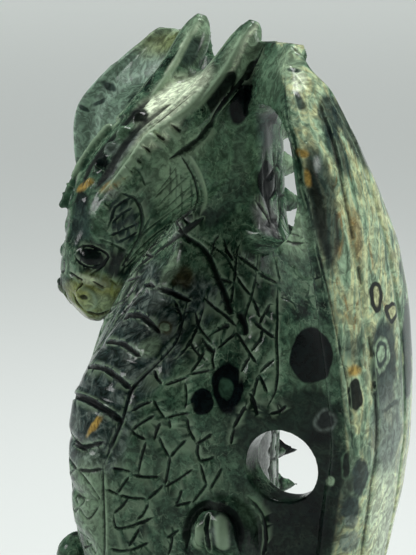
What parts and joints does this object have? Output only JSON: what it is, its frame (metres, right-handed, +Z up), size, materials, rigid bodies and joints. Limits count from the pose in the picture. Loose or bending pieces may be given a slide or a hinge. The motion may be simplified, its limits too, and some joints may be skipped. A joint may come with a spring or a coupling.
{
  "type": "jasper winged dragon carving",
  "caption": "Seated winged dragon carved in green orbicular jasper, head bowed, with tall cloak-like pierced wings, engraved scales and a low rocky base.",
  "frame": {"origin": "on the flat underside of the base, below the middle of the figure", "axes": "+Z up from the base to the horns, -Y the way that the dragon faces, +X to its left"},
  "size_m": [0.142, 0.106, 0.2252],
  "materials": {
    "jasper": "polished green orbicular jasper with dark orbs, yellow-green veins and engraved scales"
  },
  "bodies": {
    "root": {"dragon_carving": "jasper"}
  },
  "joints": []
}
